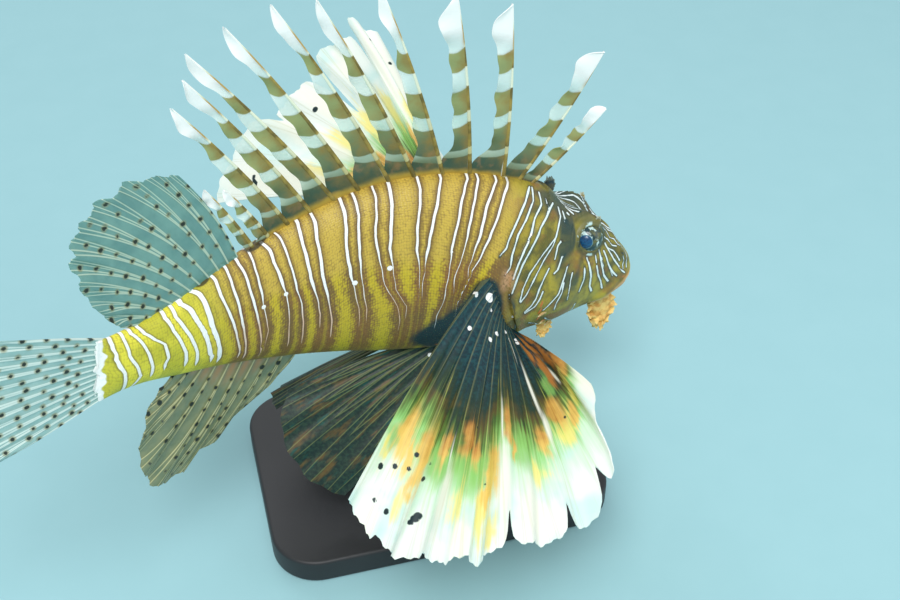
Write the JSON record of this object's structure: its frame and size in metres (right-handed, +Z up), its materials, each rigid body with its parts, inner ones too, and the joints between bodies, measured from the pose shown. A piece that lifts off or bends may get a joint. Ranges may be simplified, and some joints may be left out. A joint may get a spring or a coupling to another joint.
{
  "type": "red lionfish display model",
  "caption": "Life-size still model of a swimming red lionfish with spread banded fins and bent tail, held by one rod on a flat base.",
  "frame": {"origin": "centre of the underside of the stand's base", "axes": "+Z up, +X towards the fish's head, +Y towards the fish's left side"},
  "size_m": [0.2778, 0.2449, 0.24],
  "materials": {
    "skin": "satin fish skin, golden olive with fine scales, brown bands and thin white lines",
    "banded_fin": "satin, olive and white bands along each spine and its flag of skin",
    "clear_fin": "thin clear fin skin, pale rays with rows of dark spots",
    "pectoral_fin": "satin, dark green-black base with white spots, then green, orange and white",
    "pelvic_fin": "satin, dark green-brown with pale ray lines",
    "flap": "soft ruffled skin, tan orange",
    "eye": "wet gloss, dark blue pupil in a striped iris",
    "stand_base": "black satin paint",
    "stand_rod": "brushed"
  },
  "bodies": {
    "root": {"head": "skin", "trunk": "skin", "tail": "skin", "tail_stalk": "skin", "spiny_dorsal_fin": "banded_fin", "soft_dorsal_fin": "clear_fin", "anal_fin": "clear_fin", "caudal_fin": "clear_fin", "left_pectoral_fin": "pectoral_fin", "right_pectoral_fin": "pectoral_fin", "left_pelvic_fin": "pelvic_fin", "right_pelvic_fin": "pelvic_fin", "left_eye": "eye", "right_eye": "eye", "nape_flap": "skin", "left_brow_tentacle": "skin", "right_brow_tentacle": "skin", "left_mouth_flap": "flap", "right_mouth_flap": "flap", "left_cheek_flap": "flap", "right_cheek_flap": "flap", "stand_base": "stand_base", "stand_rod": "stand_rod"}
  },
  "joints": []
}
